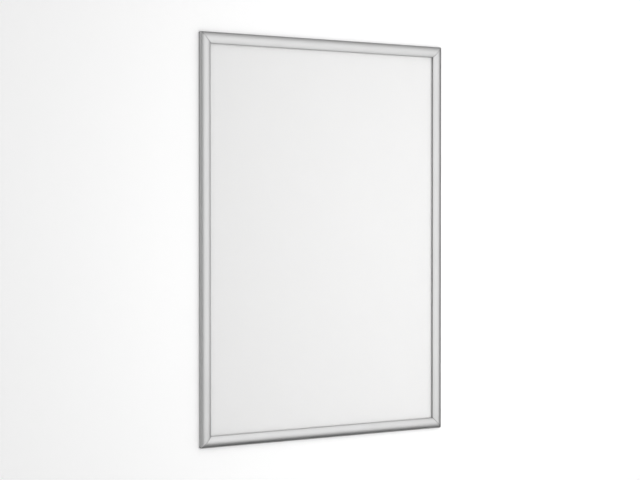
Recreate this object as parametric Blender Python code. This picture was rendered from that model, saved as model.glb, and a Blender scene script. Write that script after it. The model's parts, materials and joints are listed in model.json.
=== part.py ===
"""A snap-open poster frame for a wall, made for one A1 sheet.

Each side is a mitred base rail with a hinged snap rail over it. The lips of the snap rails hold
a clear cover sheet, the poster and a back panel down on the base rails. Bowed leaf springs
between the two rails hold a snap rail shut or open, and steel keys join the base rails in the
corners.

Metres, +Z up. The wall is the plane y = 0, the poster faces -Y, and the origin is the middle of
the back. A rail's cross-section is written as (inset, height): inset runs from the rail's outer
edge towards the poster, height from the wall towards the room.
"""

import math

import bmesh
import bpy
from mathutils import Matrix

# The sheet, and the rails around it
POSTER_WIDTH = 0.594
POSTER_HEIGHT = 0.841
SIDE_MARGIN = 0.0005
END_MARGIN = 0.0020
FACE_WIDTH = 0.025
FRAME_DEPTH = 0.012
FRAME_WIDTH = POSTER_WIDTH + 2 * (SIDE_MARGIN + FACE_WIDTH)
FRAME_HEIGHT = POSTER_HEIGHT + 2 * (END_MARGIN + FACE_WIDTH)

# Gaps between pieces, and how far a cutter runs past what it cuts
SEAT_GAP = 0.0003
SHEET_GAP = 0.00015
MITRE_GAP = 0.0003
HINGE_CLEARANCE = 0.0001
CUT_OVERRUN = 0.001
MITRE_SETBACK = MITRE_GAP / math.sqrt(2)

# Corner tips of the base rails, ground blunt: how much is gone along each outer edge
CORNER_BLUNT = 0.0026

# Floor of the base rail, and the sheets that lie on it
FLOOR_THICKNESS = 0.0012
BACK_THICKNESS = 0.0010
POSTER_THICKNESS = 0.0002
COVER_THICKNESS = 0.0004
SHEET_EDGE_GAP = 0.0005
LIP_OVERHANG = 0.0035
BASE_WIDTH = FACE_WIDTH - LIP_OVERHANG
BACK_HEIGHT = FLOOR_THICKNESS + SHEET_GAP
POSTER_SEAT = BACK_HEIGHT + BACK_THICKNESS + SHEET_GAP
COVER_SEAT = POSTER_SEAT + POSTER_THICKNESS + SHEET_GAP
LIP_HEIGHT = COVER_SEAT + COVER_THICKNESS + SHEET_GAP

# Hinge: a round bead on the base rail inside a hook under the snap rail
BEAD_RADIUS = 0.00138
NECK_THICKNESS = 0.00075
NECK_OFFSET = 0.00022
HOOK_WALL = 0.00092
HOOK_START = 148
HOOK_SHOULDER = 100
HOOK_INNER_RADIUS = BEAD_RADIUS + HINGE_CLEARANCE
HOOK_OUTER_RADIUS = HOOK_INNER_RADIUS + HOOK_WALL
HOOK_END_SETBACK = 0.008

# Tail of the hook, with the slot that holds the springs
TAIL_ANGLE = -62
TAIL_THICKNESS = 0.0007
SPRING_SLOT = 0.0008
NUB_THICKNESS = 0.0006
NUB_REACH = 0.0006
TAIL_SIDE = TAIL_THICKNESS / 2
TAIL_REACH = HOOK_OUTER_RADIUS + SPRING_SLOT + NUB_THICKNESS
TAIL_SWEEP = math.hypot(TAIL_REACH, TAIL_SIDE + NUB_REACH)
TAIL_DROP = (TAIL_SIDE * math.cos(math.radians(TAIL_ANGLE))
             - TAIL_REACH * math.sin(math.radians(TAIL_ANGLE)))

# Snap rail: one domed wall from the skirt at its outer edge over the crown to the lip
LID_WALL = 0.0012
SKIRT_INSET = 0.0002
CROWN_SHARE = 0.5
CROWN_INSET = CROWN_SHARE * FACE_WIDTH
HINGE_INSET = SKIRT_INSET + HOOK_OUTER_RADIUS
HINGE_HEIGHT = FLOOR_THICKNESS + SEAT_GAP + TAIL_DROP
NECK_NEAR_SIDE = HINGE_INSET - NECK_OFFSET - NECK_THICKNESS / 2
NECK_FAR_SIDE = HINGE_INSET - NECK_OFFSET + NECK_THICKNESS / 2
SKIRT_HEIGHT = HINGE_HEIGHT + HINGE_INSET - NECK_NEAR_SIDE + SEAT_GAP
FOOT_HEIGHT = HINGE_HEIGHT - HOOK_OUTER_RADIUS - SEAT_GAP
ROOT_SHARES = (0.30, 0.24, 0.18, 0.12)

# Its tips are ground further back, past the skirt of a neighbour that stands open
LID_BLUNT = NECK_NEAR_SIDE + SKIRT_INSET + LID_WALL

# Corner keys
KEY_LEG = 0.060
KEY_WIDTH = 0.0044
KEY_THICKNESS = 0.0018
KEY_SIDE_GAP = 0.0005
KEY_CHAMFER = 0.0010
KEY_INSET = HINGE_INSET + TAIL_SWEEP + SEAT_GAP
KEY_HEIGHT = FLOOR_THICKNESS + SEAT_GAP

# Rib of the base rail: its lower ledge keeps the key down, the upper one the springs
RIB_THICKNESS = 0.0010
LEDGE_THICKNESS = 0.0005
KEY_LEDGE_REACH = 0.0008
SPRING_LEDGE_REACH = 0.0005
SPRING_GROOVE = 0.0013
RIB_INSET = KEY_INSET + KEY_WIDTH + KEY_SIDE_GAP
RIB_BACK = RIB_INSET + RIB_THICKNESS
KEY_LEDGE_HEIGHT = KEY_HEIGHT + KEY_THICKNESS + SEAT_GAP
GROOVE_HEIGHT = KEY_LEDGE_HEIGHT + LEDGE_THICKNESS
SPRING_LEDGE_HEIGHT = GROOVE_HEIGHT + SPRING_GROOVE
RIB_HEIGHT = SPRING_LEDGE_HEIGHT + LEDGE_THICKNESS

# Leaf springs, and where they stand along a rail as shares of its length
SPRING_THICKNESS = 0.0004
SPRING_LENGTH = 0.055
SPRING_BOW = 0.0009
SPRING_SEAT_INSET = RIB_INSET - SEAT_GAP
SPRING_SEAT_HEIGHT = GROOVE_HEIGHT + SPRING_GROOVE / 2
LONG_SPRING_SHARES = (-0.26, 0.0, 0.26)
SHORT_SPRING_SHARES = (-0.24, 0.24)

# Screw holes through the floor of the base rails
HOLE_RADIUS = 0.00225
HOLE_INSET = (NECK_FAR_SIDE + RIB_INSET) / 2
LONG_HOLE_SHARES = (-0.37, 0.37)
SHORT_HOLE_SHARES = (0.0,)

# How finely the curves are cut into flats
DOME_STEPS = 40
BEAD_STEPS = 26
HOOK_STEPS = 20
SPRING_STEPS = 12
HOLE_SIDES = 32
SMOOTH_ANGLE = math.radians(40)

# Each side: its turn about Y from the bottom side, which runs along +X
SIDES = {"bottom": 0, "right": -90, "top": 180, "left": 90}


# Finishes

def make_finish(name, colour, roughness, metallic=0.0, alpha=1.0):
    """A plain Principled material."""
    material = bpy.data.materials.new(name)
    material.use_nodes = True
    shader = material.node_tree.nodes["Principled BSDF"]
    shader.inputs["Base Color"].default_value = (*colour, 1.0)
    shader.inputs["Roughness"].default_value = roughness
    shader.inputs["Metallic"].default_value = metallic
    shader.inputs["Alpha"].default_value = alpha
    material.diffuse_color = (*colour, alpha)
    return material


# Cross-sections

def around_hinge(radius, degrees):
    """A cross-section point at an angle around the hinge axis, 0 towards the poster."""
    angle = math.radians(degrees)
    return (HINGE_INSET + radius * math.cos(angle), HINGE_HEIGHT + radius * math.sin(angle))


def on_tail(reach, offset):
    """A cross-section point out along the tail, and off to its poster side."""
    angle = math.radians(TAIL_ANGLE)
    return (HINGE_INSET + reach * math.cos(angle) - offset * math.sin(angle),
            HINGE_HEIGHT + reach * math.sin(angle) + offset * math.cos(angle))


def in_dome(share, depth):
    """A point in the domed wall: share 0 at the skirt, 0.5 at the crown, 1 at the lip."""
    if share <= CROWN_SHARE:
        turn = math.pi / 2 * share / CROWN_SHARE
        centre_height, half_width, side = SKIRT_HEIGHT, CROWN_INSET - SKIRT_INSET, -1
    else:
        turn = math.pi / 2 * (1 - share) / (1 - CROWN_SHARE)
        centre_height, half_width, side = LIP_HEIGHT, FACE_WIDTH - CROWN_INSET, 1
    rise = FRAME_DEPTH - centre_height
    across, up = rise * math.cos(turn), half_width * math.sin(turn)
    length = math.hypot(across, up)
    inset = CROWN_INSET + side * (half_width * math.cos(turn) - depth * across / length)
    height = centre_height + rise * math.sin(turn) - depth * up / length
    return (inset, height)


def dome_outline():
    """The snap rail's wall, one skin thick, from skirt to lip and back."""
    shares = [step / DOME_STEPS for step in range(DOME_STEPS + 1)]
    outer = [in_dome(share, 0) for share in shares]
    inner = [in_dome(share, LID_WALL) for share in reversed(shares)]
    return outer + inner


def hook_outline():
    """The hook around the bead, its tail with the spring slot, and its root in the wall."""
    hook_end = TAIL_ANGLE - math.degrees(math.asin(TAIL_SIDE / HOOK_INNER_RADIUS))
    tail_start = TAIL_ANGLE + math.degrees(math.asin(TAIL_SIDE / HOOK_OUTER_RADIUS))
    slot_end = HOOK_OUTER_RADIUS + SPRING_SLOT
    points = arc(HOOK_INNER_RADIUS, HOOK_START, hook_end, HOOK_STEPS)
    points += [on_tail(TAIL_REACH, -TAIL_SIDE), on_tail(TAIL_REACH, TAIL_SIDE + NUB_REACH),
               on_tail(slot_end, TAIL_SIDE + NUB_REACH), on_tail(slot_end, TAIL_SIDE)]
    points += arc(HOOK_OUTER_RADIUS, tail_start, HOOK_SHOULDER, HOOK_STEPS)
    points += [in_dome(CROWN_SHARE * share, LID_WALL / 2) for share in ROOT_SHARES]
    return points


def base_outline():
    """The base rail: foot, hinge neck and bead, floor, and the rib with its two ledges."""
    neck_far = math.degrees(math.asin((NECK_FAR_SIDE - HINGE_INSET) / BEAD_RADIUS)) - 90
    neck_near = 270 - math.degrees(math.asin((HINGE_INSET - NECK_NEAR_SIDE) / BEAD_RADIUS))
    key_ledge_tip = RIB_INSET - KEY_LEDGE_REACH
    spring_ledge_tip = RIB_INSET - SPRING_LEDGE_REACH
    points = [(0, 0), (BASE_WIDTH, 0), (BASE_WIDTH, FLOOR_THICKNESS), (RIB_BACK, FLOOR_THICKNESS),
              (RIB_BACK, RIB_HEIGHT), (spring_ledge_tip, RIB_HEIGHT),
              (spring_ledge_tip, SPRING_LEDGE_HEIGHT), (RIB_INSET, SPRING_LEDGE_HEIGHT),
              (RIB_INSET, GROOVE_HEIGHT), (key_ledge_tip, GROOVE_HEIGHT),
              (key_ledge_tip, KEY_LEDGE_HEIGHT), (RIB_INSET, KEY_LEDGE_HEIGHT),
              (RIB_INSET, FLOOR_THICKNESS), (NECK_FAR_SIDE, FLOOR_THICKNESS)]
    points += arc(BEAD_RADIUS, neck_far, neck_near, BEAD_STEPS)
    points += [(NECK_NEAR_SIDE, FOOT_HEIGHT), (0, FOOT_HEIGHT)]
    return points


def spring_outline():
    """A bowed strip from its seat in the rib's groove to the slot in the tail."""
    slot = on_tail(HOOK_OUTER_RADIUS + SPRING_SLOT / 2, TAIL_SIDE + SPRING_THICKNESS)
    reach, drop = slot[0] - SPRING_SEAT_INSET, slot[1] - SPRING_SEAT_HEIGHT
    chord = math.hypot(reach, drop)
    across = (drop / chord, -reach / chord)
    near, far = [], []
    for step in range(SPRING_STEPS + 1):
        share = step / SPRING_STEPS
        bow = 4 * SPRING_BOW * share * (1 - share)
        slope = math.atan(4 * SPRING_BOW * (1 - 2 * share) / chord)
        middle = (SPRING_SEAT_INSET + reach * share + across[0] * bow,
                  SPRING_SEAT_HEIGHT + drop * share + across[1] * bow)
        along = (reach * math.sin(slope) / chord, drop * math.sin(slope) / chord)
        half = SPRING_THICKNESS / 2
        normal = (across[0] * math.cos(slope) - along[0], across[1] * math.cos(slope) - along[1])
        near.append((middle[0] + half * normal[0], middle[1] + half * normal[1]))
        far.append((middle[0] - half * normal[0], middle[1] - half * normal[1]))
    return near + far[::-1]


def arc(radius, start, end, steps):
    """Points around the hinge axis from one angle to another, both ends included."""
    return [around_hinge(radius, start + (end - start) * step / steps) for step in range(steps + 1)]


# Solids

def add_object(name, bm, material, parent=None, location=(0, 0, 0)):
    """Put a finished solid into the scene under its own name."""
    bmesh.ops.recalc_face_normals(bm, faces=bm.faces)
    mesh = bpy.data.meshes.new(name)
    bm.to_mesh(mesh)
    bm.free()
    mesh.shade_smooth()
    mesh.set_sharp_from_angle(angle=SMOOTH_ANGLE)
    mesh.materials.append(material)
    piece = bpy.data.objects.new(name, mesh)
    bpy.context.collection.objects.link(piece)
    piece.parent = parent
    piece.location = location
    return piece


def hide_helper(piece):
    """Mark an object that only cuts or joins another one."""
    piece.hide_render = True
    piece.display_type = "WIRE"


def add_boolean(piece, other, operation):
    """Cut another solid out of a piece, or join it on."""
    modifier = piece.modifiers.new(other.name, "BOOLEAN")
    modifier.operation = operation
    modifier.solver = "EXACT"
    modifier.object = other


def make_bar(outline, half_length, axis=(0, 0), mitred=True):
    """A cross-section carried along local X, with its ends cut at 45 degrees or square.

    axis is the cross-section point that becomes the solid's own origin.
    """
    bm = bmesh.new()
    ends = []
    for direction in (-1, 1):
        ring = []
        for inset, height in outline:
            end = half_length - inset - MITRE_SETBACK if mitred else half_length
            ring.append(bm.verts.new((direction * end, axis[1] - height, inset - axis[0])))
        ends.append(ring)
        bm.faces.new(ring)
    for index in range(len(outline)):
        following = (index + 1) % len(outline)
        bm.faces.new((ends[0][index], ends[0][following], ends[1][following], ends[1][index]))
    return bm


def blunt_tips(bm, half_length, blunt, axis=(0, 0)):
    """Grind off the sharp outer tips of a mitred bar."""
    for direction in (-1, 1):
        point = (direction * (half_length - blunt), 0, -axis[0])
        geometry = bm.verts[:] + bm.edges[:] + bm.faces[:]
        cut = bmesh.ops.bisect_plane(bm, geom=geometry, plane_co=point,
                                     plane_no=(direction, 0, -1), clear_outer=True)
        rim = [item for item in cut["geom_cut"] if isinstance(item, bmesh.types.BMEdge)]
        bmesh.ops.holes_fill(bm, edges=rim)


def make_slab(name, width, height, thickness, seat, material):
    """A flat sheet whose back lies at a height above the wall."""
    bm = bmesh.new()
    bmesh.ops.create_cube(bm, size=1, matrix=Matrix.Diagonal((width, thickness, height, 1)))
    return add_object(name, bm, material, location=(0, -seat - thickness / 2, 0))


def make_key(name, corner, turn, material):
    """An L-shaped plate in the floor of two base rails, with chamfered leg ends."""
    near, far, end = KEY_INSET, KEY_INSET + KEY_WIDTH, KEY_INSET + KEY_LEG
    leg = [(end - KEY_CHAMFER, near), (end, near + KEY_CHAMFER), (end, far - KEY_CHAMFER),
           (end - KEY_CHAMFER, far)]
    outline = [(near, near)] + leg + [(far, far)] + [(along, across) for across, along in leg[::-1]]
    bm = bmesh.new()
    face = bm.faces.new([bm.verts.new((along, -KEY_HEIGHT, across)) for along, across in outline])
    raised = bmesh.ops.extrude_face_region(bm, geom=[face])["geom"]
    corners = [item for item in raised if isinstance(item, bmesh.types.BMVert)]
    bmesh.ops.translate(bm, verts=corners, vec=(0, -KEY_THICKNESS, 0))
    key = add_object(name, bm, material, location=corner)
    key.rotation_euler = (0, math.radians(turn), 0)
    return key


# Rails and springs of one side

def make_side(name, turn, finishes):
    """The base rail, snap rail and leaf springs of one side, on an empty that turns them."""
    upright = name in ("left", "right")
    length = FRAME_HEIGHT if upright else FRAME_WIDTH
    distance = FRAME_WIDTH / 2 if upright else FRAME_HEIGHT / 2
    angle = math.radians(turn)
    side = bpy.data.objects.new(name + "_side", None)
    bpy.context.collection.objects.link(side)
    side.location = (-distance * math.sin(angle), 0, -distance * math.cos(angle))
    side.rotation_euler = (0, angle, 0)

    rail = make_bar(base_outline(), length / 2)
    blunt_tips(rail, length / 2, CORNER_BLUNT)
    base = add_object("base_rail_" + name, rail, finishes["aluminium"], side)
    for number, share in enumerate(LONG_HOLE_SHARES if upright else SHORT_HOLE_SHARES):
        add_boolean(base, make_drill(f"{name}_drill_{number + 1}", share * length, side,
                                     finishes["aluminium"]), "DIFFERENCE")

    hinge = (HINGE_INSET, HINGE_HEIGHT)
    hinge_place = (0, -HINGE_HEIGHT, HINGE_INSET)
    dome = make_bar(dome_outline(), length / 2, hinge)
    blunt_tips(dome, length / 2, LID_BLUNT, hinge)
    lid = add_object("snap_rail_" + name, dome, finishes["aluminium"], side, hinge_place)
    strip = make_bar(hook_outline(), length / 2 - HOOK_END_SETBACK, hinge, mitred=False)
    hook = add_object(name + "_hook", strip, finishes["aluminium"], side, hinge_place)
    hide_helper(hook)
    add_boolean(lid, hook, "UNION")

    seat = (SPRING_SEAT_INSET, SPRING_SEAT_HEIGHT)
    for number, share in enumerate(LONG_SPRING_SHARES if upright else SHORT_SPRING_SHARES):
        leaf = make_bar(spring_outline(), SPRING_LENGTH / 2, seat, mitred=False)
        add_object(f"leaf_spring_{name}_{number + 1}", leaf, finishes["spring_steel"], side,
                   (share * length, -SPRING_SEAT_HEIGHT, SPRING_SEAT_INSET))


def make_drill(name, place, side, material):
    """A cutter for one screw hole, through the floor of the base rail."""
    bm = bmesh.new()
    depth = FLOOR_THICKNESS + 2 * CUT_OVERRUN
    bmesh.ops.create_cone(bm, cap_ends=True, segments=HOLE_SIDES, radius1=HOLE_RADIUS,
                          radius2=HOLE_RADIUS, depth=depth,
                          matrix=Matrix.Rotation(math.pi / 2, 4, "X"))
    drill = add_object(name, bm, material, side, (place, -FLOOR_THICKNESS / 2, HOLE_INSET))
    hide_helper(drill)
    return drill


def main():
    for old in list(bpy.data.objects):
        bpy.data.objects.remove(old)
    finishes = {
        "aluminium": make_finish("satin_aluminium", (0.62, 0.62, 0.63), 0.35, 1.0),
        "spring_steel": make_finish("spring_steel", (0.36, 0.36, 0.38), 0.30, 1.0),
        "key_steel": make_finish("zinc_steel", (0.50, 0.51, 0.53), 0.40, 1.0),
        "panel": make_finish("white_polystyrene", (0.82, 0.82, 0.81), 0.55),
        "paper": make_finish("poster_paper", (0.87, 0.87, 0.87), 0.85),
        "cover": make_finish("clear_cover", (0.95, 0.96, 0.97), 0.25, alpha=0.25),
    }
    for name, turn in SIDES.items():
        make_side(name, turn, finishes)
    for number, turn in enumerate(SIDES.values()):
        across = -1 if number in (0, 3) else 1
        up = -1 if number in (0, 1) else 1
        word = ("bottom_" if up < 0 else "top_") + ("left" if across < 0 else "right")
        corner = (across * FRAME_WIDTH / 2, 0, up * FRAME_HEIGHT / 2)
        make_key("corner_key_" + word, corner, turn, finishes["key_steel"])
    sheet_width = FRAME_WIDTH - 2 * (RIB_BACK + SHEET_EDGE_GAP)
    sheet_height = FRAME_HEIGHT - 2 * (RIB_BACK + SHEET_EDGE_GAP)
    make_slab("back_panel", sheet_width, sheet_height, BACK_THICKNESS, BACK_HEIGHT,
              finishes["panel"])
    make_slab("poster", POSTER_WIDTH, POSTER_HEIGHT, POSTER_THICKNESS, POSTER_SEAT,
              finishes["paper"])
    make_slab("cover_sheet", sheet_width, sheet_height, COVER_THICKNESS, COVER_SEAT,
              finishes["cover"])


main()
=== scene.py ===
# %% [markdown]
# # A snap-open poster frame
# This frame hangs flat on a wall. Four aluminium snap rails hinge on four mitred base rails and
# clamp a clear cover, a poster and a back panel. The construction file has already fixed every
# size, so this script only dresses it: it rebuilds the extruded rails with smooth, rounded
# sections, gives every piece a finish, and sets up a plain studio.

import json
import math

import bmesh
import bpy
from mathutils import Matrix, Vector


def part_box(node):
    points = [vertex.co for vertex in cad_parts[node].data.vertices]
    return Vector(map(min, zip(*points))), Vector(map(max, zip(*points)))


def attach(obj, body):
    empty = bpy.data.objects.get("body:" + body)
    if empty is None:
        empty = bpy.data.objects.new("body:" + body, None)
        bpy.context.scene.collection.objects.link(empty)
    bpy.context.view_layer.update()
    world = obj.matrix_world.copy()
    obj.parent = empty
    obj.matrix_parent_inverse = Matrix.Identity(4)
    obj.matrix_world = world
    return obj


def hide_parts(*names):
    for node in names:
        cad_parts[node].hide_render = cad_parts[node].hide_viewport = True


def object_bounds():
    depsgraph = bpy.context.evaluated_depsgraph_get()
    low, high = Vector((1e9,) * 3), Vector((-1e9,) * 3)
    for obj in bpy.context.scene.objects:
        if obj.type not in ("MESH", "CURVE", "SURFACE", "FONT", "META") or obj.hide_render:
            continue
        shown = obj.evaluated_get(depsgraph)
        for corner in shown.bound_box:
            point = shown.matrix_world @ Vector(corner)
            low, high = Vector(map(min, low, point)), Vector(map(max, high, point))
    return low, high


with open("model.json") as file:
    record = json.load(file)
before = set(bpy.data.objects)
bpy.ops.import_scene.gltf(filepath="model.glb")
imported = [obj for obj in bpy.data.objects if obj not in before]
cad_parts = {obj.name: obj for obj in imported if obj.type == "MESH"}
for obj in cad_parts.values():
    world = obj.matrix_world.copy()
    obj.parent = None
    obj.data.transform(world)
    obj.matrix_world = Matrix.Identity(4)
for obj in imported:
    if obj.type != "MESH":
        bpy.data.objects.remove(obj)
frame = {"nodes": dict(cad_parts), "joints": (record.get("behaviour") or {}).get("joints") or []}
cad_low, cad_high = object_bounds()
WIDTH, DEPTH, HEIGHT = cad_high - cad_low
print("frame, mm:", [round(side * 1000, 1) for side in (WIDTH, DEPTH, HEIGHT)])

# %% [markdown]
# All four sides share one cross-section. It is written as (inset, height): inset runs from the
# outer edge towards the poster, height from the wall towards the room. The hinge axis comes from
# the frame, and the other sizes are those that a maker would write on the die drawing.

# %% Sizes of the cross-section
FACE_WIDTH = 0.025
WALL = 0.0012
SKIRT_INSET = 0.0002
CROWN_INSET = FACE_WIDTH / 2
BASE_WIDTH = 0.0215
FLOOR = 0.0012
SEAT_GAP = 0.0003
LIP_GAP = 0.00015
SIDES = {"bottom": 0, "right": -90, "top": 180, "left": 90}

hinge = next(joint for joint in frame["joints"] if joint["name"] == "bottom_lid_hinge")
HINGE_INSET = hinge["pos_m"][2] + HEIGHT / 2
HINGE_HEIGHT = -hinge["pos_m"][1]
LIP_HEIGHT = -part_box("cover_sheet")[0].y + LIP_GAP
print("hinge axis, mm:", round(HINGE_INSET * 1000, 3), round(HINGE_HEIGHT * 1000, 3))

# %% [markdown]
# The camera comes first, because every finish is judged through it. The photograph was taken
# with a long lens from the left of the frame and very slightly above its middle, so the left
# side's outer edge shows and the right side's hides. A long lens far away keeps the four sides
# almost parallel.

# %% Camera
CAMERA_PLACE = Vector((-2.0324, -3.1046, 0.0576))
CAMERA_LOOK = Vector((0.5468, 0.8405, -0.0162))
LENS_MM = 92.8


def add_object(name, data):
    """An object in the scene, at the origin until it is moved."""
    added = bpy.data.objects.new(name, data)
    bpy.context.scene.collection.objects.link(added)
    return added


camera_data = bpy.data.cameras.new("camera")
camera_data.lens = LENS_MM
camera = add_object("camera", camera_data)
camera.location = CAMERA_PLACE
camera.rotation_euler = CAMERA_LOOK.to_track_quat("-Z", "Y").to_euler()
bpy.context.scene.camera = camera
print("camera to frame, m:", round(CAMERA_PLACE.length, 2))

# %% [markdown]
# A finish is a Principled material. Numbers that stay the same all over a surface are set on the
# shader's own sockets, and only what varies is linked. A few helpers keep the node work short: one
# adds a node and feeds it, one reads a stretched noise in the piece's own coordinates, one maps
# the noise to a useful range, and one blends two colours by it.

# %% Helpers for finishes
NOISE_LOW, NOISE_HIGH = 0.3, 0.7
MATT = 0.9


def start_finish(name, constants):
    """A new Principled material with its constant values set."""
    material = bpy.data.materials.new(name)
    material.use_nodes = True
    shader = material.node_tree.nodes["Principled BSDF"]
    for socket, value in constants.items():
        shader.inputs[socket].default_value = value
    material.diffuse_color = constants.get("Base Color", material.diffuse_color)
    return material, material.node_tree, shader


def grey(level, warm=0.0):
    """A colour near grey: warm lifts the red and lowers the blue."""
    return (level + warm, level, level - warm, 1.0)


def add_node(tree, kind, inputs=None, **options):
    """Add a node, set its options, and feed sockets or plain values to its inputs."""
    node = tree.nodes.new(kind)
    for option, value in options.items():
        setattr(node, option, value)
    for label, source in (inputs or {}).items():
        for item in source if isinstance(source, list) else [source]:
            if isinstance(item, bpy.types.NodeSocket):
                tree.links.new(item, node.inputs[label])
            else:
                node.inputs[label].default_value = item
    return node.outputs


def own_coordinates(nodes, attribute=""):
    """The piece's own coordinates: a stored attribute, or Object where none is named."""
    if attribute:
        return add_node(nodes, "ShaderNodeAttribute", attribute_name=attribute)["Vector"]
    return add_node(nodes, "ShaderNodeTexCoord")["Object"]


def read_noise(nodes, coordinates, per_metre, detail=2.0):
    """Noise in a piece's own coordinates, with its own frequency along each axis."""
    scaled = add_node(nodes, "ShaderNodeMapping", {"Vector": coordinates, "Scale": per_metre})
    return add_node(nodes, "ShaderNodeTexNoise",
                    {"Vector": scaled["Vector"], "Scale": 1.0, "Detail": detail})["Fac"]


def spread(nodes, noise, low=0.0, high=1.0):
    """Map the middle of a noise to a range from low to high."""
    return add_node(nodes, "ShaderNodeMapRange",
                    {"Value": noise, "From Min": NOISE_LOW, "From Max": NOISE_HIGH,
                     "To Min": low, "To Max": high})["Result"]


def blend(nodes, value, first, second):
    """Blend two colours, each given as a socket or as plain numbers."""
    return add_node(nodes, "ShaderNodeMix", {"Factor": value, "A": first, "B": second},
                    data_type="RGBA")["Result"]


def add_bump(nodes, shader, value, height):
    """Raise the surface by a value times a height in metres."""
    raised = add_node(nodes, "ShaderNodeBump",
                      {"Height": value, "Distance": height, "Strength": 1.0})
    nodes.links.new(raised["Normal"], shader.inputs["Normal"])


print("finish helpers are ready")

# %% [markdown]
# Aluminium extrusions carry faint lines along their length, left by the die, under a satin
# anodised skin. The rails store their own local position in an attribute called grain, so one
# material draws the lines lengthwise on all four sides, however a side is turned. A second
# attribute, called dull, marks the cut ends and the upright faces that look at the
# poster. They get a darker colour, painted shade that stands in for the shadow in the mitre gaps
# and under the lip.

# %% Aluminium finishes
DIE_LINES = (1.5, 2600.0, 2600.0)
CLOUDS = (14.0, 90.0, 90.0)
METAL_SHARE = 0.92
EDGE_TINT = 0.4
# Grey for the cut ends and lip faces: painted shade for the shadow in the mitre gaps and under the
# lip.
PAINTED_SHADE_TONE = 0.34
TONE_STEP = 0.015
DIE_LINE_HEIGHT = 0.000006


def make_aluminium(name, level, roughness, roughness_step):
    """Satin extruded aluminium with lengthwise die lines."""
    material, nodes, shader = start_finish(name, {
        "Base Color": grey(level), "Metallic": METAL_SHARE, "Specular Tint": grey(EDGE_TINT)})
    grain = own_coordinates(nodes, "grain")
    lines = read_noise(nodes, grain, DIE_LINES)
    clouds = read_noise(nodes, grain, CLOUDS, detail=3.0)
    tones = (grey(level - TONE_STEP), grey(level + TONE_STEP))
    skin = blend(nodes, spread(nodes, lines), *tones)
    # Painted shade: the cut ends and lip faces blend to a darker grey in place of their shadow.
    dull = add_node(nodes, "ShaderNodeAttribute", attribute_name="dull")["Fac"]
    nodes.links.new(blend(nodes, dull, skin, grey(PAINTED_SHADE_TONE)), shader.inputs["Base Color"])
    rough = spread(nodes, clouds, roughness - roughness_step, roughness + roughness_step)
    nodes.links.new(rough, shader.inputs["Roughness"])
    add_bump(nodes, shader, lines, DIE_LINE_HEIGHT)
    return material


finishes = {
    "lid": make_aluminium("satin_anodised_aluminium",
                          level=0.56, roughness=0.42, roughness_step=0.03),
    "base": make_aluminium("mill_finish_aluminium",
                           level=0.66, roughness=0.46, roughness_step=0.05),
}
print("aluminium finishes:", sorted(finishes))

# %% [markdown]
# The leaf springs are blued strip steel with fine brush marks across the strip, which follow the
# grain attribute too. The corner keys are zinc plated, which shows as a soft mottling of light and
# dark patches.

# %% Steel finishes
BLUED_TONES = ((0.22, 0.23, 0.26, 1.0), (0.29, 0.30, 0.34, 1.0))
BRUSH_MARKS = (3200.0, 60.0, 60.0)
BRUSH_DEPTH = 0.000003
ZINC_TONES = ((0.48, 0.49, 0.50, 1.0), (0.60, 0.61, 0.63, 1.0))
ZINC_PATCHES = (420.0, 420.0, 420.0)
ZINC_DEPTH = 0.000010
GLOSS_STEP = 0.08


def make_steel(name, tones, roughness, attribute, pattern, depth):
    """Steel whose tone and gloss follow one noise pattern."""
    material, nodes, shader = start_finish(name, {"Base Color": tones[1], "Metallic": 1.0})
    marks = read_noise(nodes, own_coordinates(nodes, attribute), pattern, detail=4.0)
    nodes.links.new(blend(nodes, spread(nodes, marks), *tones), shader.inputs["Base Color"])
    rough = spread(nodes, marks, roughness - GLOSS_STEP, roughness + GLOSS_STEP)
    nodes.links.new(rough, shader.inputs["Roughness"])
    add_bump(nodes, shader, marks, depth)
    return material


finishes["spring"] = make_steel("blued_spring_steel", BLUED_TONES, roughness=0.30,
                                attribute="grain", pattern=BRUSH_MARKS, depth=BRUSH_DEPTH)
finishes["key"] = make_steel("zinc_plated_steel", ZINC_TONES, roughness=0.38,
                             attribute="", pattern=ZINC_PATCHES, depth=ZINC_DEPTH)
print("steel finishes added:", len(finishes))

# %% [markdown]
# Three flat sheets lie between the rails. The back panel is white polystyrene with the faint
# orange-peel skin of a rolled sheet, the poster is matt paper with a fine tooth, and the cover is
# a clear sheet whose long, shallow waves only show in its gloss. All three read Object
# coordinates, because a flat sheet needs no unwrapping.

# %% Sheet finishes
PEEL_PER_METRE, PEEL_DEPTH = 900.0, 0.00003
TOOTH_PER_METRE, TOOTH_DEPTH = 3500.0, 0.000005
WAVES_PER_METRE, WAVE_DEPTH = 5.0, 0.0002


def make_sheet_finish(name, constants, per_metre, depth, tone_step):
    """A pale sheet with a slight change of tone and a shallow relief."""
    material, nodes, shader = start_finish(name, constants)
    relief = read_noise(nodes, own_coordinates(nodes), (per_metre,) * 3, detail=3.0)
    tones = [tuple(channel + step for channel in constants["Base Color"][:3]) + (1.0,)
             for step in (-tone_step, tone_step)]
    nodes.links.new(blend(nodes, spread(nodes, relief), *tones), shader.inputs["Base Color"])
    add_bump(nodes, shader, relief, depth)
    return material


finishes["panel"] = make_sheet_finish(
    "white_polystyrene", {"Base Color": grey(0.90, 0.004), "Roughness": 0.45},
    PEEL_PER_METRE, PEEL_DEPTH, tone_step=0.01)
finishes["paper"] = make_sheet_finish(
    "matt_poster_paper", {"Base Color": grey(0.93, 0.003), "Roughness": MATT},
    TOOTH_PER_METRE, TOOTH_DEPTH, tone_step=0.006)
finishes["cover"] = make_sheet_finish(
    "clear_cover_sheet",
    {"Base Color": grey(0.90, -0.002), "Roughness": 0.28, "IOR": 1.5, "Alpha": 0.15},
    WAVES_PER_METRE, WAVE_DEPTH, tone_step=0.002)
print("all finishes:", sorted(finishes))

# %% [markdown]
# A cross-section is a closed outline. A die leaves no sharp corners, so a corner that is written
# with a radius becomes a small arc between its two tangent points. The same few helpers serve
# every section.

# %% Helpers for outlines
CORNER_STEPS = 5


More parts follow.
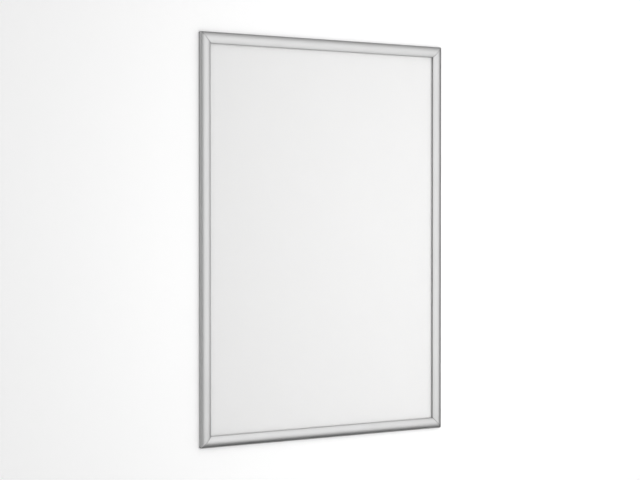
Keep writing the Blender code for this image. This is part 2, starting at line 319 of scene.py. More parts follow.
def polar(centre, radius, degrees):
    """A point at an angle around a centre, 0 towards the poster."""
    angle = math.radians(degrees)
    return (centre[0] + radius * math.cos(angle), centre[1] + radius * math.sin(angle))


def sweep(centre, radius, start, end, steps):
    """Points along an arc, both ends included."""
    return [polar(centre, radius, start + (end - start) * step / steps)
            for step in range(steps + 1)]


def soften(outline):
    """Turn each (inset, height, radius) corner into an arc. Points without a radius stay."""
    softened = []
    for index, corner in enumerate(outline):
        here = Vector(corner[:2])
        if len(corner) < 3:
            softened.append(tuple(here))
            continue
        radius = corner[2]
        back = (Vector(outline[index - 1][:2]) - here).normalized()
        ahead = (Vector(outline[(index + 1) % len(outline)][:2]) - here).normalized()
        half = back.angle(ahead) / 2
        centre = here + (back + ahead).normalized() * radius / math.sin(half)
        first, last = [(here + way * radius / math.tan(half) - centre).normalized()
                       for way in (back, ahead)]
        for step in range(CORNER_STEPS + 1):
            spoke = first.slerp(last, step / CORNER_STEPS)
            softened.append(tuple(centre + spoke * radius))
    return softened


print("outline helpers are ready")

# %% [markdown]
# The snap rail's face is a dome. Its outer half falls to the skirt as a quarter ellipse, and its
# inner half as a flatter arc that ends in a short upright lip on the cover. That is why the rail
# looks full and round, yet meets the poster in one thin dark line, which painted shade on the lip
# faces makes darker. The wall keeps one thickness, measured square to the face.

# %% Dome of the snap rail
DOME_STEPS = 28
EDGE_SHARE = 0.04
EDGE_RADIUS = 0.0003
BROW_RADIUS = 0.0004
ARC_RADIUS = 0.022
NECK_THICKNESS = 0.00075
NECK_OFFSET = 0.00022
NECK_NEAR = HINGE_INSET - NECK_OFFSET - NECK_THICKNESS / 2
NECK_FAR = NECK_NEAR + NECK_THICKNESS
SKIRT_HEIGHT = HINGE_HEIGHT + HINGE_INSET - NECK_NEAR + SEAT_GAP


def on_flank(share, depth):
    """A point in the outer half of the wall: share 0 at the skirt, 1 at the crown."""
    turn = math.pi / 2 * share
    half_width, rise = CROWN_INSET - SKIRT_INSET, DEPTH - SKIRT_HEIGHT
    across, up = rise * math.cos(turn), half_width * math.sin(turn)
    length = math.hypot(across, up)
    return (CROWN_INSET - half_width * math.cos(turn) + depth * across / length,
            SKIRT_HEIGHT + rise * math.sin(turn) - depth * up / length)


def on_arc(inset, depth):
    """A point in the inner half of the wall, at an inset past the crown."""
    radius, across = ARC_RADIUS - depth, inset - CROWN_INSET
    return (inset, DEPTH - ARC_RADIUS + math.sqrt(radius ** 2 - across ** 2))


def dome_section():
    """The closed outline of the wall, with softened edges at the skirt, brow and lip."""
    steps = range(DOME_STEPS + 1)
    flank = [EDGE_SHARE + (1 - EDGE_SHARE) * step / DOME_STEPS for step in steps]
    outer_end, inner_end = FACE_WIDTH - BROW_RADIUS, FACE_WIDTH - 2 * WALL
    outer = [CROWN_INSET + (outer_end - CROWN_INSET) * step / DOME_STEPS for step in steps[1:]]
    inner = [CROWN_INSET + (inner_end - CROWN_INSET) * step / DOME_STEPS for step in steps[1:]]
    outline = [(*on_flank(0, 0), EDGE_RADIUS)] + [on_flank(share, 0) for share in flank]
    outline += [on_arc(inset, 0) for inset in outer]
    outline += [(*on_arc(FACE_WIDTH, 0), BROW_RADIUS), (FACE_WIDTH, LIP_HEIGHT, EDGE_RADIUS),
                (FACE_WIDTH - WALL, LIP_HEIGHT, EDGE_RADIUS),
                (*on_arc(FACE_WIDTH - WALL, WALL), EDGE_RADIUS)]
    outline += [on_arc(inset, WALL) for inset in reversed(inner)]
    outline += [on_flank(share, WALL) for share in reversed(flank)]
    return soften(outline + [(*on_flank(0, WALL), EDGE_RADIUS)])


print("dome outline points:", len(dome_section()))

# %% [markdown]
# Under the dome a hook wraps the hinge bead and ends in a short tail. The leaf springs push into
# the corner between the two, above the axis when the rail is open and below it when it is shut.
# The hook is a section of its own, rooted inside the wall. It is joined to the dome later with a
# Boolean, as the metal is one piece.

# %% Hook of the snap rail
BEAD_RADIUS = 0.00138
BEAD_GAP = 0.0001
HOOK_THICKNESS = 0.00092
HOOK_INNER = BEAD_RADIUS + BEAD_GAP
HOOK_OUTER = HOOK_INNER + HOOK_THICKNESS
HOOK_STEPS = 28
MOUTH_DEGREES = 148
ROOT_DEGREES = 100
TAIL_DEGREES = -62
TAIL_HALF = 0.00035
TAIL_LENGTH = 0.0006
TAIL_REACH = HOOK_OUTER + TAIL_LENGTH
SMALL_RADIUS = 0.00012
ROOT_SHARES = (0.30, 0.22, 0.13, 0.04)
HINGE = (HINGE_INSET, HINGE_HEIGHT)


def on_tail(reach, offset):
    """A point out along the tail from the hinge axis, and off to its poster side."""
    angle = math.radians(TAIL_DEGREES)
    return (HINGE[0] + reach * math.cos(angle) - offset * math.sin(angle),
            HINGE[1] + reach * math.sin(angle) + offset * math.cos(angle))


def hook_section():
    """The closed outline of hook, tail and root."""
    inner_end = TAIL_DEGREES - math.degrees(math.asin(TAIL_HALF / HOOK_INNER))
    outer_start = TAIL_DEGREES + math.degrees(math.asin(TAIL_HALF / HOOK_OUTER))
    outline = sweep(HINGE, HOOK_INNER, MOUTH_DEGREES, inner_end, HOOK_STEPS)
    outline += [(*on_tail(TAIL_REACH, -TAIL_HALF), SMALL_RADIUS),
                (*on_tail(TAIL_REACH, TAIL_HALF), SMALL_RADIUS)]
    outline += sweep(HINGE, HOOK_OUTER, outer_start, ROOT_DEGREES, HOOK_STEPS)
    outline += [on_flank(share, WALL / 2) for share in ROOT_SHARES]
    return soften(outline)


print("hook outline points:", len(hook_section()))

# %% [markdown]
# The base rail is screwed to the wall. From the outside in it has a foot, a slender neck with the
# hinge bead, a floor with the screw holes, and a rib. The rib's lower ledge traps the corner key
# and its upper one the springs. All its corners get the die's small radius. Its flat underside and
# foot carry a few extra points near the outer edge, because the rail's tips are rounded there.

# %% Section of the base rail
KEY_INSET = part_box("corner_key_bottom_left")[0].x + WIDTH / 2
KEY_WIDTH = 0.0044
KEY_HEIGHT = FLOOR + SEAT_GAP
KEY_THICKNESS = 0.0018
KEY_PLAY = 0.0005
RIB_THICKNESS = 0.0010
RIB_INSET = KEY_INSET + KEY_WIDTH + KEY_PLAY
RIB_BACK = RIB_INSET + RIB_THICKNESS
LEDGE = 0.0005
KEY_LEDGE_REACH = 0.0008
SPRING_LEDGE_REACH = 0.0005
GROOVE_WIDTH = 0.0013
KEY_LEDGE_HEIGHT = KEY_HEIGHT + KEY_THICKNESS + SEAT_GAP
GROOVE_HEIGHT = KEY_LEDGE_HEIGHT + LEDGE
SPRING_LEDGE_HEIGHT = GROOVE_HEIGHT + GROOVE_WIDTH
RIB_HEIGHT = SPRING_LEDGE_HEIGHT + LEDGE
FOOT_HEIGHT = HINGE_HEIGHT - HOOK_OUTER - SEAT_GAP
BASE_TIP_RADIUS = 0.0045
TIP_STEPS = 5
BEAD_STEPS = 40


def base_section():
    """The closed outline of foot, neck, bead, floor and rib."""
    radius = SMALL_RADIUS
    near_angle = 270 - math.degrees(math.asin((HINGE_INSET - NECK_NEAR) / BEAD_RADIUS))
    far_angle = math.degrees(math.asin((NECK_FAR - HINGE_INSET) / BEAD_RADIUS)) - 90
    key_tip, spring_tip = RIB_INSET - KEY_LEDGE_REACH, RIB_INSET - SPRING_LEDGE_REACH
    tip_end = BASE_TIP_RADIUS * (1 - math.sqrt(0.5))
    tip_insets = [tip_end * (step + 1) / TIP_STEPS for step in range(TIP_STEPS)]
    outline = [(0, 0, radius)] + [(inset, 0) for inset in tip_insets]
    outline += [(BASE_WIDTH, 0, radius), (BASE_WIDTH, FLOOR, 2 * radius),
                (RIB_BACK, FLOOR, radius), (RIB_BACK, RIB_HEIGHT, radius),
                (spring_tip, RIB_HEIGHT, radius), (spring_tip, SPRING_LEDGE_HEIGHT, radius),
                (RIB_INSET, SPRING_LEDGE_HEIGHT, radius), (RIB_INSET, GROOVE_HEIGHT, radius),
                (key_tip, GROOVE_HEIGHT, radius), (key_tip, KEY_LEDGE_HEIGHT, radius),
                (RIB_INSET, KEY_LEDGE_HEIGHT, radius), (RIB_INSET, FLOOR, radius),
                (NECK_FAR, FLOOR, radius)]
    outline += sweep(HINGE, BEAD_RADIUS, far_angle, near_angle, BEAD_STEPS)
    outline += [(NECK_NEAR, FOOT_HEIGHT, radius)]
    outline += [(inset, FOOT_HEIGHT) for inset in reversed(tip_insets)]
    return soften(outline + [(0, FOOT_HEIGHT, 2 * radius)])


print("base rail outline points:", len(base_section()))

# %% [markdown]
# The rails follow a rule: a section is carried along a straight line, and its ends are cut at 45
# degrees and rounded at the outer tips. That suits Geometry Nodes, because one tree can then make
# all eight rails from named sizes. These helpers build trees in script: one starts a tree with its
# inputs, one does a sum, and one closes a tree. The last one marks the faces that turn to a rail's
# end or towards the poster for painted shade, a darker colour that stands in for the shadow in the
# gaps, and adds Realize Instances and Set Material.

# %% Helpers for node trees
SOCKETS = {float: "NodeSocketFloat", int: "NodeSocketInt", "object": "NodeSocketObject",
           "material": "NodeSocketMaterial", "geometry": "NodeSocketGeometry"}
END_FACING = 0.3
LIP_FACING = 0.95
MERGE_DISTANCE = 1e-6


def start_tree(name, inputs):
    """A Geometry Nodes tree with named inputs. Returns it and its input sockets by name."""
    tree = bpy.data.node_groups.new(name, "GeometryNodeTree")
    for label, kind in {"Geometry": "geometry", **inputs}.items():
        tree.interface.new_socket(label, in_out="INPUT", socket_type=SOCKETS[kind])
    tree.interface.new_socket("Geometry", in_out="OUTPUT", socket_type=SOCKETS["geometry"])
    return tree, tree.nodes.new("NodeGroupInput").outputs


def calculate(tree, operation, first, second=0.0):
    """One Math node with two values."""
    return add_node(tree, "ShaderNodeMath", {0: first, 1: second}, operation=operation)[0]


def end_tree(tree, geometry, material):
    """Store grain and the painted-shade mask for the finish, make instances real, set the material,
    and finish.
    """
    position = add_node(tree, "GeometryNodeInputPosition")[0]
    normal = add_node(tree, "GeometryNodeInputNormal")[0]
    along, _, inward = add_node(tree, "ShaderNodeSeparateXYZ", {"Vector": normal})
    # Faces turned to a rail's end or up to the poster are marked for painted shade.
    ends = calculate(tree, "GREATER_THAN", calculate(tree, "ABSOLUTE", along), END_FACING)
    lips = calculate(tree, "GREATER_THAN", inward, LIP_FACING)
    dull = calculate(tree, "MAXIMUM", ends, lips)
    real = add_node(tree, "GeometryNodeRealizeInstances", {"Geometry": geometry})[0]
    marked = add_node(tree, "GeometryNodeStoreNamedAttribute",
                      {"Geometry": real, "Name": "grain", "Value": position},
                      data_type="FLOAT_VECTOR", domain="POINT")[0]
    marked = add_node(tree, "GeometryNodeStoreNamedAttribute",
                      {"Geometry": marked, "Name": "dull", "Value": dull},
                      data_type="FLOAT", domain="FACE")[0]
    coloured = add_node(tree, "GeometryNodeSetMaterial",
                        {"Geometry": marked, "Material": material})[0]
    add_node(tree, "NodeGroupOutput", {"Geometry": coloured})


print("tree helpers are ready")

# %% [markdown]
# The inner tree is the saw and the extrusion press in one. It thickens the flat section into a bar
# one unit long, joins the flipped starting face back on so the bar is closed, and then moves each
# end point along the rail: by its inset times the mitre, or by the rounding of the tip where
# that takes away more.

# %% Tree: mitred extrusion
def make_extrusion_tree():
    """A section in the YZ plane becomes a closed bar along X with mitred, round-tipped ends."""
    tree, sizes = start_tree("mitred_extrusion", {"Half Length": float, "Mitre": float,
                                                 "Setback": float, "Tip Radius": float})
    along = add_node(tree, "ShaderNodeCombineXYZ", {"X": 1.0})[0]
    raised = add_node(tree, "GeometryNodeExtrudeMesh",
                      {"Mesh": sizes["Geometry"], "Offset": along, "Offset Scale": 1.0,
                       "Individual": False}, mode="FACES")[0]
    start = add_node(tree, "GeometryNodeFlipFaces", {"Mesh": sizes["Geometry"]})[0]
    both = add_node(tree, "GeometryNodeJoinGeometry", {"Geometry": [raised, start]})[0]
    bar = add_node(tree, "GeometryNodeMergeByDistance",
                   {"Geometry": both, "Distance": MERGE_DISTANCE})[0]

    place = add_node(tree, "GeometryNodeInputPosition")[0]
    x, y, inset = add_node(tree, "ShaderNodeSeparateXYZ", {"Vector": place})
    radius = sizes["Tip Radius"]
    short = calculate(tree, "MAXIMUM", calculate(tree, "SUBTRACT", radius, inset))
    left = calculate(tree, "SUBTRACT", calculate(tree, "MULTIPLY", radius, radius),
                     calculate(tree, "MULTIPLY", short, short))
    round_cut = calculate(tree, "SUBTRACT", radius,
                          calculate(tree, "SQRT", calculate(tree, "MAXIMUM", left)))
    mitre_cut = calculate(tree, "ADD", calculate(tree, "MULTIPLY", inset, sizes["Mitre"]),
                          sizes["Setback"])
    cut = calculate(tree, "MAXIMUM", round_cut, mitre_cut)
    half = calculate(tree, "SUBTRACT", sizes["Half Length"], cut)
    sign = calculate(tree, "SUBTRACT", calculate(tree, "MULTIPLY", x, 2.0), 1.0)
    moved = add_node(tree, "ShaderNodeCombineXYZ",
                     {"X": calculate(tree, "MULTIPLY", sign, half), "Y": y, "Z": inset})[0]
    placed = add_node(tree, "GeometryNodeSetPosition", {"Geometry": bar, "Position": moved})[0]
    add_node(tree, "NodeGroupOutput", {"Geometry": placed})
    return tree


extrusion = make_extrusion_tree()
print("extrusion tree nodes:", len(extrusion.nodes))

# %% [markdown]
# The snap rail's tree presses two sections, the dome and the hook, and welds them with a Boolean
# union. The base rail's tree presses one and drills it: the drill is an instance on each point of
# a line, so the number of holes and their span are plain inputs. The springs' tree sets copies
# of one leaf along such a line.

# %% Trees: snap rail, base rail and springs
def press(tree, section, sizes, mitre, setback, radius):
    """Use the extrusion tree inside another one."""
    return add_node(tree, "GeometryNodeGroup",
                    {"Geometry": section, "Half Length": sizes["Half Length"], "Mitre": mitre,
                     "Setback": setback, "Tip Radius": radius}, node_tree=extrusion)[0]


def shape_of(tree, socket):
    """The mesh of an object input."""
    return add_node(tree, "GeometryNodeObjectInfo", {"Object": socket})["Geometry"]


def along_line(tree, sizes, shape):
    """Copies of a shape on points spread evenly along X."""
    reach = calculate(tree, "MULTIPLY", sizes["Span"], 0.5)
    ends = [add_node(tree, "ShaderNodeCombineXYZ", {"X": x})[0]
            for x in (calculate(tree, "MULTIPLY", reach, -1.0), reach)]
    line = add_node(tree, "GeometryNodeMeshLine",
                    {"Count": sizes["Count"], "Start Location": ends[0], "Offset": ends[1]},
                    mode="END_POINTS", count_mode="TOTAL")[0]
    return add_node(tree, "GeometryNodeInstanceOnPoints", {"Points": line, "Instance": shape})[0]


def make_lid_tree():
    """Dome and hook pressed apart and joined."""
    tree, sizes = start_tree("snap_rail", {"Hook": "object", "Half Length": float, "Setback": float,
                                           "Tip Radius": float, "Hook Setback": float,
                                           "Material": "material"})
    dome = press(tree, sizes["Geometry"], sizes, 1.0, sizes["Setback"], sizes["Tip Radius"])
    hook = press(tree, shape_of(tree, sizes["Hook"]), sizes, 0.0, sizes["Hook Setback"], 0.0)
    welded = add_node(tree, "GeometryNodeMeshBoolean", {"Mesh 2": [dome, hook]}, operation="UNION",
                      solver="EXACT")["Mesh"]
    end_tree(tree, welded, sizes["Material"])
    return tree


def make_base_tree():
    """A base rail, pressed and drilled."""
    tree, sizes = start_tree("base_rail", {"Drill": "object", "Count": int, "Span": float,
                                           "Half Length": float, "Setback": float,
                                           "Tip Radius": float, "Material": "material"})
    bar = press(tree, sizes["Geometry"], sizes, 1.0, sizes["Setback"], sizes["Tip Radius"])
    drills = along_line(tree, sizes, shape_of(tree, sizes["Drill"]))
    solid = add_node(tree, "GeometryNodeRealizeInstances", {"Geometry": drills})[0]
    drilled = add_node(tree, "GeometryNodeMeshBoolean", {"Mesh 1": bar, "Mesh 2": solid},
                       operation="DIFFERENCE", solver="EXACT")["Mesh"]
    end_tree(tree, drilled, sizes["Material"])
    return tree


def make_spring_tree():
    """Leaf springs spread along one rail."""
    tree, sizes = start_tree("leaf_springs", {"Count": int, "Span": float, "Material": "material"})
    end_tree(tree, along_line(tree, sizes, sizes["Geometry"]), sizes["Material"])
    return tree


lid_tree, base_tree, spring_tree = make_lid_tree(), make_base_tree(), make_spring_tree()
print("trees:", [tree.name for tree in (lid_tree, base_tree, spring_tree)])

# %% [markdown]
# Running a tree means giving it a starting mesh, setting each input by its socket's identifier,
# and evaluating the object once. The result is copied to a plain mesh, turned and moved to its
# side of the frame, and put on an object that sits at the origin.

# %% Run a tree and place the result
SHARP_DEGREES = 32


def mesh_from(bm, name):
    """The named mesh of a finished bmesh, which is freed."""
    mesh = bpy.data.meshes.new(name)
    bm.to_mesh(mesh)
    bm.free()
    return mesh


def section_mesh(name, outline):
    """A flat face in the YZ plane that faces +X."""
    bm = bmesh.new()
    face = bm.faces.new([bm.verts.new((0.0, -height, inset)) for inset, height in outline])
    face.normal_update()
    if face.normal.x < 0:
        face.normal_flip()
    return mesh_from(bm, name)


def shade(mesh):
    """Smooth shading that keeps sharp edges sharp."""
    mesh.shade_smooth()
    mesh.set_sharp_from_angle(angle=math.radians(SHARP_DEGREES))


def helper_object(name, mesh):
    """An object that only feeds a tree and is never shown."""
    helper = add_object(name, mesh)
    helper.hide_render = True
    return helper


def run_tree(name, mesh, tree, inputs):
    """The plain mesh that a tree makes from a starting mesh and named input values."""
    carrier = helper_object(name + "_start", mesh)
    modifier = carrier.modifiers.new("tree", "NODES")
    modifier.node_group = tree
    for item in tree.interface.items_tree:
        if item.item_type == "SOCKET" and item.in_out == "INPUT" and item.name in inputs:
            modifier[item.identifier] = inputs[item.name]
    graph = bpy.context.evaluated_depsgraph_get()
    made = bpy.data.meshes.new_from_object(carrier.evaluated_get(graph), depsgraph=graph)
    bpy.data.objects.remove(carrier)
    made.name = name
    return made


def side_matrix(side):
    """Where a side's local frame stands: X along the rail, Z from its outer edge inwards."""
    angle = math.radians(SIDES[side])
    distance = WIDTH / 2 if side in ("left", "right") else HEIGHT / 2
    place = Vector((-distance * math.sin(angle), 0.0, -distance * math.cos(angle)))
    return Matrix.Translation(place) @ Matrix.Rotation(angle, 4, "Y")


def half_length(side):
    """Half of a side's outer length."""
    return (HEIGHT if side in ("left", "right") else WIDTH) / 2


def finish_piece(name, mesh, side, body, nodes):
    """Place a mesh on its side, shade it, attach it to its body, and hide the nodes it stands for.
    """
    mesh.transform(side_matrix(side))
    shade(mesh)
    piece = add_object(name, mesh)
    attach(piece, body)
    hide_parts(*nodes)


print("ready to run trees")

# %% [markdown]
# Each snap rail gets the dome and the hook. The tip's radius is large enough that two
# neighbouring rails can stand open together without touching at the corner.

# %% Snap rails
LID_TIP_RADIUS = 0.0055
LID_MITRE_GAP = 0.0007
HOOK_SETBACK = 0.008

hook_start = helper_object("hook_start", section_mesh("hook_start", hook_section()))
for side in SIDES:
    rail = run_tree("snap_rail_" + side, section_mesh("dome_start", dome_section()), lid_tree,
                    {"Hook": hook_start, "Half Length": half_length(side),
                     "Setback": LID_MITRE_GAP / math.sqrt(2), "Tip Radius": LID_TIP_RADIUS,
                     "Hook Setback": HOOK_SETBACK, "Material": finishes["lid"]})
    finish_piece(side + "_snap_rail", rail, side, side + "_lid",
                 ["snap_rail_" + side])
    print(side, "snap rail faces:", len(rail.polygons))

# %% [markdown]
# The drill for the base rails has two steps: a shank that passes through the floor and a cone
# that sinks the screw head. It is turned as one profile with the spin operator.

# %% Base rails
HOLE_RADIUS = 0.00225
SINK_RADIUS = 0.0031
SINK_DEPTH = 0.0007
DRILL_OVERRUN = 0.0005
DRILL_STEPS = 40
HOLE_INSET = (NECK_FAR + RIB_INSET) / 2
HOLE_SPAN_SHARES = {"left": 0.74, "right": 0.74, "top": 0.0, "bottom": 0.0}
BASE_MITRE_GAP = 0.0001


def drill_mesh():
    """A countersinking drill along Y at the holes' inset."""
    bm = bmesh.new()
    bottom, top = -DRILL_OVERRUN, FLOOR + DRILL_OVERRUN
    profile = [(0, bottom), (HOLE_RADIUS, bottom), (HOLE_RADIUS, FLOOR - SINK_DEPTH),
               (SINK_RADIUS, FLOOR), (SINK_RADIUS, top), (0, top)]
    line = [bm.verts.new((radius, -height, 0.0)) for radius, height in profile]
    edges = [bm.edges.new(pair) for pair in zip(line, line[1:])]
    bmesh.ops.spin(bm, geom=line + edges, cent=(0, 0, 0), axis=(0, 1, 0), angle=math.tau,
                   steps=DRILL_STEPS)
    bmesh.ops.remove_doubles(bm, verts=bm.verts, dist=MERGE_DISTANCE)
    bmesh.ops.recalc_face_normals(bm, faces=bm.faces)
    bmesh.ops.translate(bm, verts=bm.verts, vec=(0.0, 0.0, HOLE_INSET))
    return mesh_from(bm, "drill")


drill = helper_object("drill", drill_mesh())
for side in SIDES:
    share = HOLE_SPAN_SHARES[side]
    rail = run_tree("base_rail_" + side, section_mesh("base_start", base_section()), base_tree,
                    {"Drill": drill, "Count": 2 if share else 1,
                     "Span": share * 2 * half_length(side), "Half Length": half_length(side),
                     "Setback": BASE_MITRE_GAP / math.sqrt(2), "Tip Radius": BASE_TIP_RADIUS,
                     "Material": finishes["base"]})
    finish_piece(side + "_base_rail", rail, side, "frame",
                 ["base_rail_" + side])
    print(side, "base rail faces:", len(rail.polygons))

# %% [markdown]
# A leaf spring is a bowed strip of blued steel. One long edge sits in the rib's groove, the other
# in the corner between hook and tail, and the bow pushes the snap rail shut or open. Its plan has
# rounded corners, so each row across the strip gets its own length.

# %% Leaf springs
SPRING_THICKNESS = 0.0004
SPRING_LENGTH = 0.055
SPRING_BOW = 0.0009
SPRING_CORNER = 0.0012
SPRING_ROWS = 24
SPRING_COUNT = {"left": 3, "right": 3, "top": 2, "bottom": 2}
SPRING_SPAN_SHARES = {"left": 0.52, "right": 0.52, "top": 0.48, "bottom": 0.48}


def spring_mesh():
    """One bowed leaf around the middle of a rail."""
    seat = Vector((RIB_INSET - SEAT_GAP, GROOVE_HEIGHT + GROOVE_WIDTH / 2))
    corner = Vector(on_tail(HOOK_OUTER + SPRING_THICKNESS, TAIL_HALF + SPRING_THICKNESS))
    chord = corner - seat
    across = Vector((chord.y, -chord.x)).normalized()
    bm = bmesh.new()
    rings = []
    for step in range(SPRING_ROWS + 1):
        share = step / SPRING_ROWS
        short = max(0.0, SPRING_CORNER - chord.length * min(share, 1 - share))
        reach = SPRING_LENGTH / 2 - SPRING_CORNER + math.sqrt(SPRING_CORNER ** 2 - short ** 2)
        slope = 4 * SPRING_BOW * (1 - 2 * share)
        middle = seat + chord * share + across * 4 * SPRING_BOW * share * (1 - share)
        normal = (across * chord.length - chord.normalized() * slope).normalized()
        front, rear = [middle + normal * sign * SPRING_THICKNESS / 2 for sign in (1, -1)]
        ring = [(front, -reach), (front, reach), (rear, reach), (rear, -reach)]
        rings.append([bm.verts.new((x, -point.y, point.x)) for point, x in ring])
    for first, second in zip(rings, rings[1:]):
        for index in range(4):
            following = (index + 1) % 4
            bm.faces.new((first[index], first[following], second[following], second[index]))
    bm.faces.new(rings[0])
    bm.faces.new(rings[-1])
    bmesh.ops.recalc_face_normals(bm, faces=bm.faces)
    return mesh_from(bm, "leaf_start")


for side in SIDES:
    count = SPRING_COUNT[side]
    leaves = run_tree("leaf_springs_" + side, spring_mesh(), spring_tree,
                      {"Count": count, "Span": SPRING_SPAN_SHARES[side] * 2 * half_length(side),
                       "Material": finishes["spring"]})
    stand_for = [f"leaf_spring_{side}_{number}" for number in range(1, count + 1)]
    finish_piece(side + "_leaf_springs", leaves, side, side + "_springs", stand_for)
    print(side, "springs:", count)

# %% [markdown]
# An L-shaped steel key joins the base rails in each corner. Pressed keys have softened edges and
# two raised dimples on each leg that bite into the rail's channel, so both are modelled.

# %% Corner keys
KEY_LEG = 0.060
KEY_CHAMFER = 0.0010
KEY_EDGE = 0.00018
KEY_EDGE_STEPS = 2
DIMPLE_SHARES = (0.42, 0.78)
DIMPLE_RADIUS = 0.0013
DIMPLE_HEIGHT = 0.00022
DIMPLE_SEGMENTS = 24
DIMPLE_RINGS = 12
CORNERS = {"bottom_left": (-1, -1, 0), "bottom_right": (1, -1, -90),
           "top_right": (1, 1, 180), "top_left": (-1, 1, 90)}


def add_dimple(bm, along, across):
    """A shallow domed bump on the key's face."""
    flat = Matrix.Diagonal((DIMPLE_RADIUS, DIMPLE_HEIGHT, DIMPLE_RADIUS, 1.0))
    place = Matrix.Translation((along, -KEY_HEIGHT - KEY_THICKNESS, across))
    bmesh.ops.create_uvsphere(bm, u_segments=DIMPLE_SEGMENTS, v_segments=DIMPLE_RINGS, radius=1.0,
                              matrix=place @ flat @ Matrix.Rotation(math.pi / 2, 4, "X"))


def key_mesh():
    """One key for the corner where two rails start, its legs along X and Z."""
    near, far, end = KEY_INSET, KEY_INSET + KEY_WIDTH, KEY_INSET + KEY_LEG
    leg = [(end - KEY_CHAMFER, near), (end, near + KEY_CHAMFER), (end, far - KEY_CHAMFER),
           (end - KEY_CHAMFER, far)]
    outline = [(near, near)] + leg + [(far, far)] + [(along, across) for across, along in leg[::-1]]
    bm = bmesh.new()
    face = bm.faces.new([bm.verts.new((along, -KEY_HEIGHT, across)) for along, across in outline])
    raised = bmesh.ops.extrude_face_region(bm, geom=[face])["geom"]
    corners = [item for item in raised if isinstance(item, bmesh.types.BMVert)]
    bmesh.ops.translate(bm, verts=corners, vec=(0.0, -KEY_THICKNESS, 0.0))
    bmesh.ops.recalc_face_normals(bm, faces=bm.faces)
    bmesh.ops.bevel(bm, geom=bm.edges[:], offset=KEY_EDGE, segments=KEY_EDGE_STEPS,
                    affect="EDGES")
    middle = (near + far) / 2
    for share in DIMPLE_SHARES:
        add_dimple(bm, near + share * KEY_LEG, middle)
        add_dimple(bm, middle, near + share * KEY_LEG)
    mesh = mesh_from(bm, "corner_key")
    mesh.materials.append(finishes["key"])
    return mesh


def place_key(word, across, up, turn):
    """Turn a key into its corner, attach it to the frame, and hide the node it stands for."""
    mesh = key_mesh()
    place = Vector((across * WIDTH / 2, 0.0, up * HEIGHT / 2))
    mesh.transform(Matrix.Translation(place) @ Matrix.Rotation(math.radians(turn), 4, "Y"))
    shade(mesh)
    key = add_object(word + "_corner_key", mesh)
    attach(key, "frame")
    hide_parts("corner_key_" + word)


for word, (across, up, turn) in CORNERS.items():
    place_key(word, across, up, turn)
print("corner keys:", len(CORNERS))

# %% [markdown]
# The three sheets are flat plates that the construction already shapes exactly, so their nodes
# stay and only change their finish.

# %% Finish the sheets
for node, finish in {"back_panel": "panel", "poster": "paper", "cover_sheet": "cover"}.items():
    sheet = frame["nodes"][node]
    for slot in sheet.material_slots:
        slot.material = finishes[finish]
    print(node, "now wears", finishes[finish].name)

# %% [markdown]
# The studio is a white wall behind the frame and a pale floor below it. The wall has an opening a
# little smaller than the frame, so light also reaches the frame's back. Wall and floor are clear
# from their back faces, so the frame can be looked at from behind and from below. From the front
# the frame covers the opening.

# %% Wall and floor
WALL_GAP = 0.0002
OPENING_MARGIN = 0.0015
WALL_SIZE = 9.0
FLOOR_SIZE = 45.0
FLOOR_LEVEL = -1.3
WALL_COLOUR = grey(0.95)
FLOOR_COLOUR = grey(0.80)
WALL_GLOW = 0.12
RING = ((-1, -1), (1, -1), (1, 1), (-1, 1))


def add_stage(name, faces, material):
    """A flat piece of the set, given as corner lists."""
    bm = bmesh.new()
    for corners in faces:
        bm.faces.new([bm.verts.new(corner) for corner in corners])
    bmesh.ops.remove_doubles(bm, verts=bm.verts, dist=MERGE_DISTANCE)
    mesh = mesh_from(bm, name)
    mesh.materials.append(material)
    piece = add_object(name, mesh)
    return piece


def wall_faces():
    """Four strips around the opening, all facing the room."""
    inner = (WIDTH / 2 - OPENING_MARGIN, HEIGHT / 2 - OPENING_MARGIN)
    strips = []
    for (x, z), (next_x, next_z) in zip(RING, RING[1:] + RING[:1]):
        strips.append([(x * WALL_SIZE, WALL_GAP, z * WALL_SIZE),
                       (next_x * WALL_SIZE, WALL_GAP, next_z * WALL_SIZE),
                       (next_x * inner[0], WALL_GAP, next_z * inner[1]),
                       (x * inner[0], WALL_GAP, z * inner[1])])
    return strips


def make_paint(name, colour):
    """Matt paint that also glows a little for the eye, and is clear from behind."""
    material = bpy.data.materials.new(name)
    material.use_nodes = True
    nodes = material.node_tree
    nodes.nodes.remove(nodes.nodes["Principled BSDF"])
    paint = add_node(nodes, "ShaderNodeBsdfDiffuse", {"Color": colour})[0]
    rays = add_node(nodes, "ShaderNodeLightPath")
    seen = calculate(nodes, "MAXIMUM", rays["Is Glossy Ray"], rays["Is Transmission Ray"])
    seen = calculate(nodes, "MAXIMUM", rays["Is Camera Ray"], seen)
    glow = add_node(nodes, "ShaderNodeEmission",
                    {"Strength": calculate(nodes, "MULTIPLY", seen, WALL_GLOW)})[0]
    front = add_node(nodes, "ShaderNodeAddShader", {0: paint, 1: glow})[0]
    clear = add_node(nodes, "ShaderNodeBsdfTransparent")[0]
    behind = add_node(nodes, "ShaderNodeNewGeometry")["Backfacing"]
    whole = add_node(nodes, "ShaderNodeMixShader", {0: behind, 1: front, 2: clear})[0]
    nodes.links.new(whole, nodes.nodes["Material Output"].inputs["Surface"])
    return material


floor_corners = [(x * FLOOR_SIZE, y * FLOOR_SIZE, FLOOR_LEVEL) for x, y in RING]
add_stage("studio_wall", wall_faces(), make_paint("wall_paint", WALL_COLOUR))
add_stage("studio_floor", [floor_corners], make_paint("floor_paint", FLOOR_COLOUR))
print("stage: wall and floor")

# %% [markdown]
# Bright metal on a bright wall loses its outline. Photographers hold cards just outside the
# picture, so the metal's edges mirror something darker. A card stands beside each side of the
# frame here, given by its gap to the frame, its reach from the wall and its tone: black ones on
# three sides, and a grey one on the left, where the most of the rail's flank shows. They only
# show in reflections: the camera doesn't see them, and they take no light off the set.

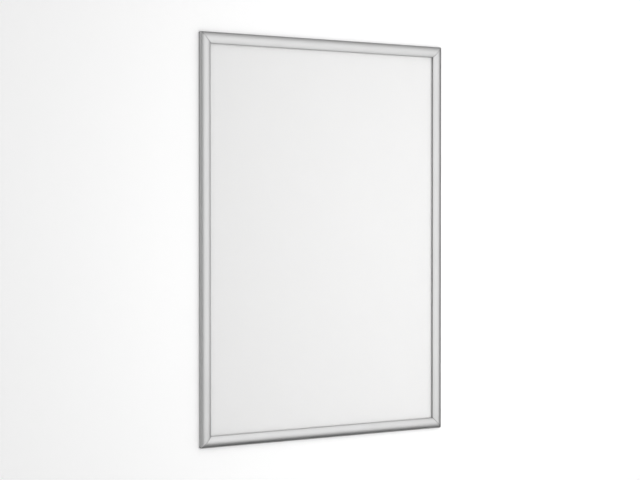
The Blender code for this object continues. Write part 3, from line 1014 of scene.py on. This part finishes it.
# %% Cards around the frame
CARDS = {"bottom": (0.15, 0.30, 0.02), "right": (0.06, 0.055, 0.02), "top": (0.06, 0.035, 0.02),
         "left": (0.05, 0.25, 0.60)}
CARD_LIFT = 0.002

for side, (gap, reach, tone) in CARDS.items():
    along = half_length(side) + gap
    corners = [(-along, -CARD_LIFT, -gap), (along, -CARD_LIFT, -gap), (along, -reach, -gap),
               (-along, -reach, -gap)]
    card_finish = start_finish("card_" + side, {"Base Color": grey(tone), "Roughness": MATT})[0]
    card = add_stage("card_" + side, [corners], card_finish)
    card.data.transform(side_matrix(side))
    card.visible_camera = False
    card.visible_diffuse = False
    card.visible_shadow = False
print("cards:", list(CARDS))

# %% [markdown]
# Satin metal shows the room more than it shows the lamps, so the light is large and soft. One
# wide lamp stands a metre in front of the frame and reaches further to the right, so every rail
# mirrors it along its crown and inner half. The world is a plain level that only fades towards
# the floor.

# %% Light
LAMP_ENDS = (Vector((-0.39, -0.93, 0.05)), Vector((1.35, -0.82, 0.05)))
LAMP_HEIGHT = 1.6
LAMP_WATTS = 7.1
WORLD_LEVEL = 0.73
LOW_LEVEL = 0.2
FADE_LOW, FADE_HIGH = -0.9, 0.1


def add_lamp(name, ends, height, watts):
    """An upright lamp, as wide as the line between two ends, that shines to the line's left."""
    lamp = bpy.data.lights.new(name, "AREA")
    lamp.shape = "RECTANGLE"
    line = ends[1] - ends[0]
    lamp.size, lamp.size_y = line.length, height
    lamp.energy = watts
    holder = add_object(name, lamp)
    holder.location = (ends[0] + ends[1]) / 2
    holder.rotation_euler = Vector((-line.y, line.x, 0.0)).to_track_quat("-Z", "Y").to_euler()
    holder.visible_camera = False
    print(name, "width, m:", round(line.length, 2))


def make_world():
    """A soft grey room, white where the camera looks past the set."""
    world = bpy.data.worlds.new("studio")
    world.use_nodes = True
    nodes = world.node_tree
    background = nodes.nodes["Background"]
    rays = add_node(nodes, "ShaderNodeLightPath")
    direction = add_node(nodes, "ShaderNodeTexCoord")["Generated"]
    height = add_node(nodes, "ShaderNodeSeparateXYZ", {"Vector": direction})["Z"]
    level = add_node(nodes, "ShaderNodeMapRange",
                     {"Value": height, "From Min": FADE_LOW, "From Max": FADE_HIGH,
                      "To Min": LOW_LEVEL * WORLD_LEVEL, "To Max": WORLD_LEVEL})["Result"]
    seen = add_node(nodes, "ShaderNodeMix",
                    {"Factor": rays["Is Camera Ray"], "A": level, "B": 1.0},
                    data_type="FLOAT")["Result"]
    nodes.links.new(seen, background.inputs["Strength"])
    background.inputs["Color"].default_value = grey(1.0)
    bpy.context.scene.world = world


add_lamp("key_lamp", LAMP_ENDS, LAMP_HEIGHT, LAMP_WATTS)
make_world()
bpy.context.scene.view_settings.view_transform = "Standard"
print("world level:", WORLD_LEVEL)

# %% [markdown]
# The helper objects have done their work and go.

# %% Hand over
for helper in (hook_start, drill):
    bpy.data.objects.remove(helper)
